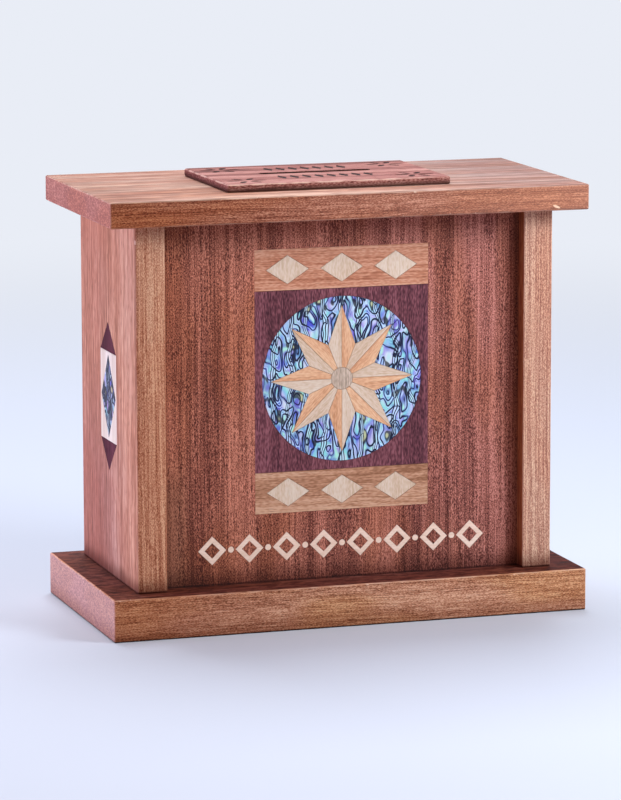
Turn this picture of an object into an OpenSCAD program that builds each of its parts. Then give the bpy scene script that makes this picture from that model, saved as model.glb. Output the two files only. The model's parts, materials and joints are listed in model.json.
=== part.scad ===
// Charity box: a case of eased hardwood boards on a plinth, with a lift-off lid,
// a coin slot plaque, and pieced wood and shell inlay in the front and the sides.
// Origin at the centre of the underside, +Z up, front facing -Y, millimetres.

/* [Body] */
// Width across the two side boards
body_w = 178; // [150:1:220]
// Depth of the side boards, front edge to back edge
body_d = 84.5; // [74:0.5:110]
// Height of the side boards, plinth to lid
body_h = 150; // [130:1:190]
// Thickness of the side boards
side_t = 12.5; // [10:0.5:16]
// Chamfer along the side boards' edges
side_ease = 0.4; // [0.2:0.1:0.8]

/* [Panels] */
// Thickness of the front and back panels
panel_t = 6; // [5:0.5:8]
// How far a panel's face sits behind the side boards' edges
panel_set_back = 6.5; // [4:0.5:9]
// Depth of the grooves in the side boards that hold the panels
groove_depth = 4; // [3:0.5:6]
// Play of a panel in its grooves, on each face and end
panel_play = 0.1; // [0.05:0.05:0.25]
// Gap between a panel's upper edge and the lid
panel_top_gap = 0.3; // [0.2:0.1:1]

/* [Plinth] */
// Thickness of the plinth board
base_h = 17.5; // [14:0.5:24]
// How far the plinth stands out past the body at each side
base_side_overhang = 12.5; // [6:0.5:20]
// How far the plinth stands out past the body at the front and the back
base_front_overhang = 9.25; // [5:0.25:16]
// Chamfer along the plinth's edges
base_ease = 0.5; // [0.3:0.1:2]

/* [Lid] */
// Thickness of the lid board
lid_t = 10.5; // [9:0.5:14]
// How far the lid stands out past the body at each side
lid_side_overhang = 12.5; // [6:0.5:20]
// How far the lid stands out past the body at the front and the back
lid_front_overhang = 9.25; // [5:0.25:16]
// Chamfer along the lid's edges
lid_ease = 0.5; // [0.3:0.1:1.5]
// Width of the cleats that keep the lid in place
cleat_w = 9; // [7:0.5:14]
// Height of the cleats
cleat_h = 9; // [6:0.5:16]
// Chamfer along the cleats' edges
cleat_ease = 0.6; // [0.3:0.1:1]
// Gap between the cleats and the inside of the body
lid_play = 0.4; // [0.3:0.05:1]

/* [Coin slot] */
// Length of the coin slot
slot_len = 48.5; // [35:0.5:60]
// Width of the coin slot
slot_w = 5; // [4.6:0.1:8]
// How much wider the slot in the lid board is, all round
slot_relief = 1.2; // [0.5:0.1:3]
// Width of the slot plaque
plaque_w = 95.5; // [75:0.5:130]
// Depth of the slot plaque
plaque_d = 62.5; // [40:0.5:76]
// Thickness of the slot plaque
plaque_t = 3.3; // [2.5:0.1:6]
// How far the plaque sits in front of the lid's middle
plaque_forward = 2.25; // [0:0.25:6]
// Chamfer along the plaque's edges
plaque_ease = 0.6; // [0.3:0.1:1.2]

/* [Screws] */
// Diameter of the screws' shanks
screw_d = 3; // [2.5:0.1:3.5]
// Diameter of the screws' countersunk heads
screw_head_d = 6; // [5:0.1:7]
// Height of the cone under a screw's head
screw_cone_h = 1.8; // [1.2:0.1:2.4]
// Height of the straight rim of a screw's head
screw_rim_h = 0.4; // [0.2:0.1:0.8]
// Height of the point at a screw's tip
screw_point_h = 3; // [2:0.5:5]
// Width of the driver slot across a screw's head
screw_slot_w = 0.9; // [0.6:0.1:1.2]
// Depth of the driver slot
screw_slot_depth = 0.9; // [0.5:0.1:1.2]
// Play of a screw in its hole, all round
screw_play = 0.06; // [0.04:0.01:0.1]
// How deep the plinth screws' heads are sunk
base_screw_sink = 0.8; // [0.3:0.1:2]
// How far the plinth screws reach into the side boards
base_screw_bite = 20; // [14:1:30]
// Distance of the plinth screws from the panels
base_screw_inset = 4; // [3:0.5:12]
// How deep the cleat screws' heads are sunk
cleat_screw_sink = 0.4; // [0.2:0.1:1]
// How far the cleat screws reach into the lid
cleat_screw_bite = 6; // [5:0.5:7]
// Distance of the cleat screws from the ends of the long cleats
cleat_screw_inset = 24; // [14:1:40]

/* [Inlay] */
// Thickness of the inlaid wood and shell
inlay_t = 2; // [1:0.1:3]
// Glue line round each inlaid piece
glue_line = 0.07; // [0.04:0.01:0.12]

/* [Front picture] */
// Distance from the side boards to the picture
pic_side_margin = 39.25; // [25:0.25:50]
// Distance from the plinth to the picture
pic_bottom_margin = 28.4; // [24:0.1:40]
// Distance from the lid to the picture
pic_top_margin = 12.9; // [8:0.1:24]
// Height of the lozenge bands at the picture's top and bottom
band_h = 17; // [12:0.5:22]
// Lozenges in each band
band_count = 3; // [2:1:5]
// Space between neighbouring lozenges of a band
band_gap = 5; // [2:0.5:9]
// Space between a lozenge and the edges of its band
band_margin = 2.6; // [1.5:0.1:4]
// Space between the shell roundel and the edge of its field
roundel_margin = 3.2; // [1.5:0.1:6]
// Space between the star's tips and the roundel's edge
star_margin = 3.6; // [2:0.1:6]
// Points of the star
star_points = 8; // [6:1:12]
// Depth of the notches between the points, as a share of the star's radius
star_waist = 0.5; // [0.35:0.01:0.7]
// Radius of the boss at the star's centre
boss_r = 4.6; // [3:0.1:6]

/* [Motif row] */
// Height of the row's centre above the plinth
row_z = 14.5; // [12:0.1:17]
// Distance from the side boards to the row
row_margin = 11; // [6:0.5:20]
// Height and width of a lozenge ring
ring_size = 12; // [8:0.1:13]
// Space between neighbouring lozenge rings
ring_gap = 3.9; // [3.2:0.1:8]
// Line width of a lozenge ring
ring_line = 2; // [0.8:0.1:2.4]
// Diameter of the dots between the rings
dot_d = 2.6; // [1.4:0.1:3]

/* [Side inlay] */
// Height of the side inlay's centre above the plinth
side_inlay_z = 74.5; // [50:0.5:85]
// Width of the side inlay
side_inlay_w = 24; // [16:0.5:34]
// Height of the side inlay, point to point
side_inlay_h = 62; // [50:0.5:84]
// Height of each pointed end
side_point_h = 12.5; // [8:0.5:18]
// Space between the shell lozenge and the edges of its ground
side_lozenge_margin = 1.2; // [0.8:0.1:3]

/* [Hidden] */
$fn = 48;
reach = 1; // how far a cut runs past a face

// Woods, shell and metal
mahogany = "#b37a5c";
sapele = "#8a5142";
plaque_wood = "#9a6a5c";
purpleheart = "#5e3340";
maple = "#e6d0be";
anigre = "#e2b896";
silver_wood = "#bdb0a2";
cedar = "#c08a73";
pale_walnut = "#b08a72";
pine = "#d6b088";
shell = "#7890c0";
brass = "#b59a58";

// Body
base_w = body_w + 2 * base_side_overhang;
base_d = body_d + 2 * base_front_overhang;
lid_w = body_w + 2 * lid_side_overhang;
lid_d = body_d + 2 * lid_front_overhang;
lid_z = base_h + body_h;
opening_w = body_w - 2 * side_t;
panel_y = body_d / 2 - panel_set_back; // outer face of each panel, front and back
panel_w = opening_w + 2 * (groove_depth - panel_play);
panel_h = body_h - panel_top_gap;
chamber_d = 2 * (panel_y - panel_t);

// Lid cleats
frame_w = opening_w - 2 * lid_play;
frame_d = chamber_d - 2 * lid_play;
cleat_z = lid_z - cleat_h;

// Screws
base_screw_len = base_h - base_screw_sink + base_screw_bite;
base_screw_spots = [
    for (side = [-1, 1], end = [-1, 1])
        [side * (body_w - side_t) / 2, end * (chamber_d / 2 - base_screw_inset), base_screw_sink]
];
cleat_screw_len = cleat_h - cleat_screw_sink + cleat_screw_bite;
cleat_screw_z = cleat_z + cleat_screw_sink;
long_cleat_spots = [
    for (side = [-1, 1], end = [-1, 1])
        [side * (frame_w / 2 - cleat_screw_inset), end * (frame_d - cleat_w) / 2, cleat_screw_z]
];
short_cleat_spots = [for (side = [-1, 1]) [side * (frame_w - cleat_w) / 2, 0, cleat_screw_z]];
cleat_screw_spots = concat(long_cleat_spots, short_cleat_spots);

// Front picture, on the panel's own plane: origin at the middle of its lower edge
pic_w = opening_w - 2 * pic_side_margin;
pic_h = body_h - pic_bottom_margin - pic_top_margin;
field_h = pic_h - 2 * band_h;
field_z = pic_bottom_margin + pic_h / 2;
roundel_r = min(pic_w, field_h) / 2 - roundel_margin;
star_r = roundel_r - star_margin;
star_step = 360 / star_points;
star_edge = star_r * star_waist * sin(star_step / 2)
    / norm(polar(star_waist, star_step / 2) - [1, 0]); // distance from the star's centre to its edges
band_zs = [pic_bottom_margin + pic_h - band_h / 2, pic_bottom_margin + band_h / 2];
band_pitch = (pic_w - band_gap) / band_count;
lozenge_w = band_pitch - band_gap;
lozenge_h = band_h - 2 * band_margin;

// Motif row
ring_pitch = ring_size + ring_gap;
ring_count = floor((opening_w - 2 * row_margin - ring_size) / ring_pitch) + 1;
ring_xs = [for (i = [0 : ring_count - 1]) (i - (ring_count - 1) / 2) * ring_pitch];
dot_xs = [for (i = [0 : ring_count - 2]) ring_xs[i] + ring_pitch / 2];

// Side inlay, on the side board's own plane: origin at the inlay's centre
side_ground_h = side_inlay_h - 2 * side_point_h;
side_lozenge_w = side_inlay_w - 2 * side_lozenge_margin;
side_lozenge_h = side_ground_h - 2 * side_lozenge_margin;

// A point at a distance and an angle from the centre
function polar(r, angle) = [r * cos(angle), r * sin(angle)];

// A triangle drawn in by gap along every edge: it shrinks towards the centre of its inscribed circle
function inset_triangle(p, gap) =
    let (
        a = norm(p[1] - p[2]),
        b = norm(p[2] - p[0]),
        c = norm(p[0] - p[1]),
        centre = (a * p[0] + b * p[1] + c * p[2]) / (a + b + c),
        area = abs((p[1] - p[0]).x * (p[2] - p[0]).y - (p[1] - p[0]).y * (p[2] - p[0]).x) / 2,
        inradius = 2 * area / (a + b + c),
        share = (inradius - gap) / inradius
    )
    [for (q = p) centre + share * (q - centre)];

// Tip of one point of the star, and the notch after it
function star_tip(i) = polar(star_r, 90 + i * star_step);
function star_notch(i) = polar(star_r * star_waist, 90 + (i + 0.5) * star_step);

// Corners of one pointed end of the side inlay: end is -1 below and 1 above
function side_point(end) = [
    [-side_inlay_w / 2, end * side_ground_h / 2], [side_inlay_w / 2, end * side_ground_h / 2],
    [0, end * side_inlay_h / 2]
];

// Rectangle with chamfered corners
module eased_rectangle(w, h, ease) {
    polygon([
        [-w / 2 + ease, -h / 2], [w / 2 - ease, -h / 2], [w / 2, -h / 2 + ease], [w / 2, h / 2 - ease],
        [w / 2 - ease, h / 2], [-w / 2 + ease, h / 2], [-w / 2, h / 2 - ease], [-w / 2, -h / 2 + ease]
    ]);
}

// Board with every edge chamfered, standing on z = 0 and centred in x and y
module eased_board(size, ease) {
    translate([0, 0, size.z / 2])
        intersection() {
            linear_extrude(size.z, center = true) eased_rectangle(size.x, size.y, ease);
            rotate([90, 0, 0]) linear_extrude(size.y, center = true) eased_rectangle(size.x, size.z, ease);
            rotate([90, 0, 90]) linear_extrude(size.x, center = true) eased_rectangle(size.y, size.z, ease);
        }
}

// Lozenge, optionally grown by a constant distance along every edge
module lozenge(w, h, grow = 0) {
    edge = w * h / 2 / norm([w, h]);
    share = (edge + grow) / edge;
    polygon(share / 2 * [[w, 0], [0, h], [-w, 0], [0, -h]]);
}

// Slot with round ends
module slot_outline(length, width) {
    square([length - width, width], center = true);
    for (end = [-1, 1]) translate([end * (length - width) / 2, 0]) circle(d = width);
}

// Countersunk screw with its head down, grown by play to cut its own hole
module screw_body(length, play = 0) {
    head_r = screw_head_d / 2 + play;
    shank_r = screw_d / 2 + play;
    rotate_extrude()
        polygon([
            [0, -play], [head_r, -play], [head_r, screw_rim_h], [shank_r, screw_rim_h + screw_cone_h],
            [shank_r, length - screw_point_h], [0, length + play]
        ]);
}

module screw(length) {
    difference() {
        screw_body(length);
        translate([-screw_head_d, -screw_slot_w / 2, -reach])
            cube([2 * screw_head_d, screw_slot_w, screw_slot_depth + reach]);
    }
}

// Hole for a screw, with the sink above its head
module screw_hole(length, sink) {
    screw_body(length, screw_play);
    translate([0, 0, -sink - reach]) cylinder(d = screw_head_d + 2 * screw_play, h = sink + reach);
}

// Sets a drawing made on the front panel's plane into its face; past lets a cut run out of the face
module in_front_face(past = 0) {
    translate([0, inlay_t - panel_y, base_h])
        rotate([90, 0, 0]) linear_extrude(inlay_t + past) children();
}

// Sets a drawing made on a side board's plane into its outer face: side is -1 left and 1 right
module in_side_face(side, past = 0) {
    translate([side * (body_w / 2 - inlay_t), 0, base_h + side_inlay_z])
        rotate([90, 0, side * 90]) linear_extrude(inlay_t + past) children();
}

module base_board() {
    color(mahogany)
        difference() {
            eased_board([base_w, base_d, base_h], base_ease);
            for (spot = base_screw_spots) translate(spot) screw_hole(base_screw_len, base_screw_sink);
        }
}

module side_inlay_outline() {
    square([side_inlay_w, side_ground_h], center = true);
    for (end = [-1, 1]) polygon(side_point(end));
}

module side_board(side) {
    groove_w = panel_t + 2 * panel_play;
    color(mahogany)
        difference() {
            translate([side * (body_w - side_t) / 2, 0, base_h])
                eased_board([side_t, body_d, body_h], side_ease);
            for (face = [-1, 1])
                translate([side * opening_w / 2, face * (panel_y - panel_t / 2), lid_z - body_h / 2])
                    cube([2 * groove_depth, groove_w, body_h + 2 * reach], center = true);
            for (spot = base_screw_spots) translate(spot) screw_hole(base_screw_len, base_screw_sink);
            in_side_face(side, reach) side_inlay_outline();
        }
}

// face is -1 for the front panel and 1 for the back one
module plain_panel(face) {
    translate([-panel_w / 2, face * (panel_y - panel_t / 2) - panel_t / 2, base_h])
        cube([panel_w, panel_t, panel_h]);
}

module ring_row(grow = 0) {
    for (x = ring_xs)
        translate([x, row_z])
            difference() {
                lozenge(ring_size, ring_size, grow);
                lozenge(ring_size, ring_size, -ring_line - grow);
            }
}

module dot_row(grow = 0) {
    for (x = dot_xs) translate([x, row_z]) circle(d = dot_d + 2 * grow);
}

module front_panel() {
    color(sapele)
        difference() {
            plain_panel(-1);
            in_front_face(reach) translate([-pic_w / 2, pic_bottom_margin]) square([pic_w, pic_h]);
            in_front_face(reach) ring_row();
            in_front_face(reach) dot_row();
        }
}

module back_panel() {
    color(sapele) plain_panel(1);
}

module base_screws() {
    color(brass)
        for (spot = base_screw_spots) translate(spot) screw(base_screw_len);
}

// Ground round the roundel, between the two bands
module picture_field() {
    color(purpleheart)
        in_front_face()
            translate([0, field_z])
                difference() {
                    square([pic_w - 2 * glue_line, field_h - 2 * glue_line], center = true);
                    circle(r = roundel_r + glue_line);
                }
}

// Shell disc with the star cut out of it
module picture_roundel() {
    share = (star_edge + glue_line) / star_edge;
    star_outline = [for (i = [0 : star_points - 1], p = [star_tip(i), star_notch(i)]) share * p];
    color(shell)
        in_front_face()
            translate([0, field_z])
                difference() {
                    circle(r = roundel_r - glue_line);
                    polygon(star_outline);
                }
}

// One half of every point of the star: from the tip to the notch after it, or to the one before it
module star_halves(before) {
    in_front_face()
        translate([0, field_z])
            difference() {
                for (i = [0 : star_points - 1])
                    polygon(inset_triangle([[0, 0], star_tip(i), star_notch(i - before)], glue_line));
                circle(r = boss_r + glue_line);
            }
}

module star_light_halves() {
    color(maple) star_halves(0);
}

module star_dark_halves() {
    color(anigre) star_halves(1);
}

module star_boss() {
    color(silver_wood) in_front_face() translate([0, field_z]) circle(r = boss_r - glue_line);
}

module lozenge_row(grow) {
    for (i = [0 : band_count - 1])
        translate([(i - (band_count - 1) / 2) * band_pitch, 0]) lozenge(lozenge_w, lozenge_h, grow);
}

module band_ground(z) {
    in_front_face()
        translate([0, z])
            difference() {
                square([pic_w - 2 * glue_line, band_h - 2 * glue_line], center = true);
                lozenge_row(glue_line);
            }
}

module picture_top_band() {
    color(cedar) band_ground(band_zs[0]);
}

module picture_bottom_band() {
    color(pale_walnut) band_ground(band_zs[1]);
}

module band_lozenges() {
    color(maple)
        for (z = band_zs) in_front_face() translate([0, z]) lozenge_row(-glue_line);
}

module motif_rings() {
    color(maple) in_front_face() ring_row(-glue_line);
}

module motif_dots() {
    color(maple) in_front_face() dot_row(-glue_line);
}

module side_inlay_ground(side) {
    color(maple)
        in_side_face(side)
            difference() {
                square([side_inlay_w - 2 * glue_line, side_ground_h - 2 * glue_line], center = true);
                lozenge(side_lozenge_w, side_lozenge_h, glue_line);
            }
}

module side_inlay_points(side) {
    color(purpleheart)
        in_side_face(side)
            for (end = [-1, 1]) polygon(inset_triangle(side_point(end), glue_line));
}

module side_inlay_lozenge(side) {
    color(shell) in_side_face(side) lozenge(side_lozenge_w, side_lozenge_h, -glue_line);
}

module lid_board() {
    relieved = 2 * slot_relief;
    color(mahogany)
        difference() {
            translate([0, 0, lid_z]) eased_board([lid_w, lid_d, lid_t], lid_ease);
            translate([0, 0, lid_z - reach])
                linear_extrude(lid_t + 2 * reach) slot_outline(slot_len + relieved, slot_w + relieved);
            for (spot = cleat_screw_spots) translate(spot) screw_hole(cleat_screw_len, cleat_screw_sink);
        }
}

// Plaque glued on the lid: the coin slot is in the lid's middle, and the plaque's front margin is the wider
module slot_plaque() {
    color(plaque_wood)
        translate([0, 0, lid_z + lid_t])
            difference() {
                translate([0, -plaque_forward, 0]) eased_board([plaque_w, plaque_d, plaque_t], plaque_ease);
                translate([0, 0, -reach]) linear_extrude(plaque_t + 2 * reach) slot_outline(slot_len, slot_w);
            }
}

// Long cleat under the lid: end is -1 at the front and 1 at the back
module long_cleat(end) {
    color(pine)
        difference() {
            translate([0, end * (frame_d - cleat_w) / 2, cleat_z])
                eased_board([frame_w, cleat_w, cleat_h], cleat_ease);
            for (spot = long_cleat_spots) translate(spot) screw_hole(cleat_screw_len, cleat_screw_sink);
        }
}

// Short cleat between the long ones: side is -1 at the left and 1 at the right
module short_cleat(side) {
    color(pine)
        difference() {
            translate([side * (frame_w - cleat_w) / 2, 0, cleat_z])
                eased_board([cleat_w, frame_d - 2 * cleat_w, cleat_h], cleat_ease);
            for (spot = short_cleat_spots) translate(spot) screw_hole(cleat_screw_len, cleat_screw_sink);
        }
}

module cleat_screws() {
    color(brass)
        for (spot = cleat_screw_spots) translate(spot) screw(cleat_screw_len);
}

base_board();
side_board(-1);  // left_side_board
side_board(1);  // right_side_board
front_panel();
back_panel();
base_screws();
picture_field();
picture_roundel();
star_light_halves();
star_dark_halves();
star_boss();
picture_top_band();
picture_bottom_band();
band_lozenges();
motif_rings();
motif_dots();
side_inlay_ground(-1);  // left_inlay_ground
side_inlay_points(-1);  // left_inlay_points
side_inlay_lozenge(-1);  // left_inlay_lozenge
side_inlay_ground(1);  // right_inlay_ground
side_inlay_points(1);  // right_inlay_points
side_inlay_lozenge(1);  // right_inlay_lozenge
lid_board();
slot_plaque();
long_cleat(-1);  // lid_cleat_front
long_cleat(1);  // lid_cleat_back
short_cleat(-1);  // lid_cleat_left
short_cleat(1);  // lid_cleat_right
cleat_screws();
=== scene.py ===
import json
import math

import bmesh
import bpy
from mathutils import Matrix, Vector


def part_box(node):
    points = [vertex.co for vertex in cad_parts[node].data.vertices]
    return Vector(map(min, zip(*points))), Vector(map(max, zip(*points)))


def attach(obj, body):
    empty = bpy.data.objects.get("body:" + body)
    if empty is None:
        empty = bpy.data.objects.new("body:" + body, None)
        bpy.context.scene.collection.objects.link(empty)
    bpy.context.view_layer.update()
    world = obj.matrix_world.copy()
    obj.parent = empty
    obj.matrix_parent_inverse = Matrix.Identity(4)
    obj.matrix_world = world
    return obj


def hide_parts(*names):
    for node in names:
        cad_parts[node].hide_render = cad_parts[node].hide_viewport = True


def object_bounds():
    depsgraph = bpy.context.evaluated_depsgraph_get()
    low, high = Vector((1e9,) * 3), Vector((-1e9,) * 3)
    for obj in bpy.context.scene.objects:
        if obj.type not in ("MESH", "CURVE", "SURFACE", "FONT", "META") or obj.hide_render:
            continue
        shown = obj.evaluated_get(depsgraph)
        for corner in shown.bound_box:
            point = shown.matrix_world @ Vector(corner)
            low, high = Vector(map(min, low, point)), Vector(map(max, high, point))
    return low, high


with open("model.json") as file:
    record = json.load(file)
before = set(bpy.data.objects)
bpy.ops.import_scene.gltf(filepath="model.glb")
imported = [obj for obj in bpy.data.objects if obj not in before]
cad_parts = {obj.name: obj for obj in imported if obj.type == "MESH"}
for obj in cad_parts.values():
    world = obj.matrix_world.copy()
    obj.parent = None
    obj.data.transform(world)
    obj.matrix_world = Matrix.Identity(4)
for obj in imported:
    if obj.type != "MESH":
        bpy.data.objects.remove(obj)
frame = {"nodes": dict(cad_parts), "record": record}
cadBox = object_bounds()
cadNodes = frame["nodes"]
mm = 0.001  # the scene is in metres, most sizes here are written in millimetres
toMillimetres = (1 / mm, 1 / mm, 1 / mm)
noiseSpan = (0.3, 0.7)  # where most values of a noise lie
print("frame loaded:", len(cadNodes), "CAD nodes")


# small helpers for node trees

def paint(code):  # "#rrggbb" as seen on screen, turned to linear light
    values = [int(code[i:i + 2], 16) / 255 for i in (1, 3, 5)]
    return [v / 12.92 if v <= 0.04045 else ((v + 0.055) / 1.055) ** 2.4 for v in values] + [1.0]


def metres(lengths):
    return [length * mm for length in lengths]


def feed(tree, socket, value):  # a socket to link, a colour code or a plain value
    if isinstance(value, bpy.types.NodeSocket):
        tree.links.new(value, socket)
    elif isinstance(value, str):
        socket.default_value = paint(value)
    else:
        socket.default_value = value


def plug(tree, node, sockets):
    for key, value in sockets.items():
        feed(tree, node.inputs[key], value)


def addNode(tree, kind, sockets=None, **settings):
    made = tree.nodes.new(kind)
    for name, value in settings.items():
        setattr(made, name, value)
    plug(tree, made, sockets or {})
    return made


def calc(tree, operation, *values, clamp=False):
    sockets = dict(enumerate(values))
    return addNode(tree, "ShaderNodeMath", sockets, operation=operation, use_clamp=clamp).outputs[0]


def minus(tree, whole, part):
    return calc(tree, "SUBTRACT", whole, part)


def times(tree, product, *others):
    for other in others:
        product = calc(tree, "MULTIPLY", product, other)
    return product


def vectorCalc(tree, operation, *values):
    sockets = dict(enumerate(values))
    return addNode(tree, "ShaderNodeVectorMath", sockets, operation=operation).outputs[0]


def vectorLength(tree, vector):
    return addNode(tree, "ShaderNodeVectorMath", {0: vector}, operation="LENGTH").outputs["Value"]


def remap(tree, value, low, high, toLow=0.0, toHigh=1.0):
    sockets = {"Value": value, "From Min": low, "From Max": high, "To Min": toLow, "To Max": toHigh}
    return addNode(tree, "ShaderNodeMapRange", sockets, interpolation_type="SMOOTHSTEP").outputs["Result"]


def fall(tree, value, fullAt, goneAt):  # from 1 down to 0
    return remap(tree, value, fullAt, goneAt, 1.0, 0.0)


def mixColour(tree, factor, first, second, blend="MIX"):
    made = addNode(tree, "ShaderNodeMix", data_type="RGBA", blend_type=blend, clamp_factor=True)
    plug(tree, made, {0: factor, 6: first, 7: second})
    return made.outputs[2]


def tint(tree, share, colour, tone):
    return mixColour(tree, share, colour, tone, "MULTIPLY")


def noise(tree, vector, detail=2.0, roughness=0.5, scale=1.0):
    sockets = {"Vector": vector, "Scale": scale, "Detail": detail, "Roughness": roughness}
    return addNode(tree, "ShaderNodeTexNoise", sockets, noise_dimensions="3D").outputs


def useGroup(tree, group, sockets):
    return addNode(tree, "ShaderNodeGroup", sockets, node_tree=group).outputs


def splitVector(tree, vector):
    return addNode(tree, "ShaderNodeSeparateXYZ", {0: vector}).outputs


def splitColour(tree, colour):
    return addNode(tree, "ShaderNodeSeparateColor", {0: colour}).outputs


def joinVector(tree, x, y, z):
    return addNode(tree, "ShaderNodeCombineXYZ", {0: x, 1: y, 2: z}).outputs[0]


def stretch(tree, parts, alongScale, acrossScale):  # squeezes space so that a pattern runs along the grain
    scales = (alongScale, acrossScale, acrossScale)
    return joinVector(tree, *[times(tree, part, scale) for part, scale in zip(parts, scales)])


def newGroup(name, inputs, outputs, kind="Shader"):
    group = bpy.data.node_groups.new(name, kind + "NodeTree")
    for socketName, (socketKind, value) in inputs.items():
        socket = group.interface.new_socket(socketName, in_out="INPUT", socket_type="NodeSocket" + socketKind)
        if value is not None:
            socket.default_value = value
    for socketName, socketKind in outputs.items():
        group.interface.new_socket(socketName, in_out="OUTPUT", socket_type="NodeSocket" + socketKind)
    return group, group.nodes.new("NodeGroupInput").outputs, group.nodes.new("NodeGroupOutput").inputs


# shader groups that several finishes share

grainInputs = {
    "Vector": ("Vector", None),
    "Normal": ("Vector", None),
    "Dark": ("Color", None),
    "Middle": ("Color", None),
    "Light": ("Color", None),
    "Tint": ("Color", (1, 1, 1, 1)),  # colour that some patches of the board lean towards
    "Stripe Width": ("Float", 9.0),  # lengths here are in millimetres
    "Stripe": ("Float", 0.5),
    "Lines": ("Float", 0.3),
    "Fibre": ("Float", 0.3),
    "Fleck": ("Float", 0.4),
    "Fleck Length": ("Float", 1.8),
    "Fleck Width": ("Float", 0.5),
    "Pore": ("Float", 0.5),
    "Pore Length": ("Float", 5.0),
    "Streak": ("Float", 0.0),  # dark broken streaks
    "Wander": ("Float", 5.0),
}
grainOutputs = {"Color": "Color", "Roughness": "Float", "Height": "Float"}
grainLook = {
    "drift": (0.011, 0.03), "lines": (0.008, 1.5), "dots": (1.6, 1.6), "fibres": (0.06, 3.2),
    "streakLines": (0.018, 0.6), "breaks": (0.16, 0.5), "patches": (0.016, 0.06),
    "stripesAlong": 0.004, "poresAcross": 1.3,  # noise per millimetre, along the grain and across it
    "squareOn": (0.5, 0.85),  # how squarely a face looks along an axis, from not at all to fully
    "endStripes": 0.25, "broadStretch": 6.0, "broadFlecks": -0.5,  # on end grain, on a broad face
    "poreSize": (0.16, 0.36), "poreShows": (0.3, 0.8), "poreTone": (0.35, 0.28, 0.25, 1),
    "poreToneShare": 0.75, "poreRoughness": 0.2,
    "roughness": 0.74, "fibreRoughness": 0.1, "fibreRelief": 0.25,
}


def buildGrain():  # wood as a solid: X runs along the grain, so the ends show end grain
    tree, given, out = newGroup("boardGrain", grainInputs, grainOutputs)
    look = grainLook
    raw = splitVector(tree, vectorCalc(tree, "MULTIPLY", given["Vector"], toMillimetres))
    facing = splitVector(tree, vectorCalc(tree, "ABSOLUTE", given["Normal"]))
    sideGrain = fall(tree, facing[0], *look["squareOn"])
    endGrain = minus(tree, 1.0, sideGrain)
    broadFace = remap(tree, facing[2], *look["squareOn"])
    drift = noise(tree, stretch(tree, raw, *look["drift"]), detail=1.0)["Color"]
    drift = splitVector(tree, vectorCalc(tree, "SUBTRACT", drift, (0.5, 0.5, 0.5)))
    bent = [raw[0]]
    for axis in (1, 2):
        bent.append(calc(tree, "MULTIPLY_ADD", drift[axis], given["Wander"], raw[axis]))

    def oneOver(value):
        return calc(tree, "DIVIDE", 1.0, value)

    def streaks(scales, detail=2.0, span=noiseSpan):  # lighter and darker, round zero
        made = noise(tree, stretch(tree, bent, *scales), detail=detail, roughness=0.6)
        return remap(tree, made[0], *span, -0.5, 0.5)

    def marks(scales, detail, span):  # on a clear ground
        made = noise(tree, stretch(tree, bent, *scales), detail=detail)
        return remap(tree, made[0], *span)

    stripes = streaks((look["stripesAlong"], oneOver(given["Stripe Width"])), span=(0.32, 0.68))
    stripeShare = calc(tree, "MULTIPLY_ADD", sideGrain, 1.0 - look["endStripes"], look["endStripes"])
    stripes = times(tree, stripes, stripeShare)
    lines = times(tree, streaks(look["lines"], detail=1.0), sideGrain)
    longer = calc(tree, "MULTIPLY_ADD", broadFace, look["broadStretch"], 1.0)  # there vessels lie lengthways
    fleckScale = oneOver(times(tree, given["Fleck Length"], longer))
    flecks = streaks((fleckScale, oneOver(given["Fleck Width"])), detail=0.5, span=(0.25, 0.75))
    dots = times(tree, streaks(look["dots"]), endGrain)  # end grain shows dots, not flecks
    fleckShare = times(tree, sideGrain, calc(tree, "MULTIPLY_ADD", broadFace, look["broadFlecks"], 1.0))
    flecks = calc(tree, "MULTIPLY_ADD", flecks, fleckShare, dots)
    fibres = streaks(look["fibres"])
    streakLines = marks(look["streakLines"], detail=2.0, span=(0.58, 0.7))
    broken = marks(look["breaks"], detail=1.0, span=(0.4, 0.6))
    streakLines = times(tree, streakLines, broken, sideGrain)
    poreSpot = stretch(tree, bent, oneOver(given["Pore Length"]), look["poresAcross"])
    cells = addNode(tree, "ShaderNodeTexVoronoi", {"Vector": poreSpot, "Scale": 1.0}).outputs
    kept = remap(tree, splitColour(tree, cells["Color"])[0], *look["poreShows"])  # some cells have no pore
    pores = times(tree, fall(tree, cells["Distance"], *look["poreSize"]), kept)

    shade = 0.5
    fibreShare = times(tree, fibres, sideGrain)
    for pattern, amount in ((stripes, "Stripe"), (flecks, "Fleck"), (lines, "Lines"), (fibreShare, "Fibre")):
        shade = calc(tree, "MULTIPLY_ADD", pattern, given[amount], shade)
    shade = minus(tree, shade, times(tree, streakLines, given["Streak"]))
    lowHalf = calc(tree, "MULTIPLY", shade, 2.0, clamp=True)
    highHalf = calc(tree, "MULTIPLY_ADD", shade, 2.0, -1.0, clamp=True)
    colour = mixColour(tree, lowHalf, given["Dark"], given["Middle"])
    colour = mixColour(tree, highHalf, colour, given["Light"])
    patches = marks(look["patches"], detail=1.0, span=(0.4, 0.62))
    colour = tint(tree, patches, colour, given["Tint"])
    poreShare = calc(tree, "MULTIPLY", pores, given["Pore"], clamp=True)
    poreColour = tint(tree, look["poreToneShare"], given["Dark"], look["poreTone"])
    colour = mixColour(tree, poreShare, colour, poreColour)
    satin = calc(tree, "MULTIPLY_ADD", fibres, look["fibreRoughness"], look["roughness"])
    relief = calc(tree, "MULTIPLY_ADD", fibres, look["fibreRelief"], times(tree, poreShare, -1.0))
    feed(tree, out["Color"], colour)
    feed(tree, out["Roughness"], calc(tree, "MULTIPLY_ADD", poreShare, look["poreRoughness"], satin))
    feed(tree, out["Height"], relief)
    return tree


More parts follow.
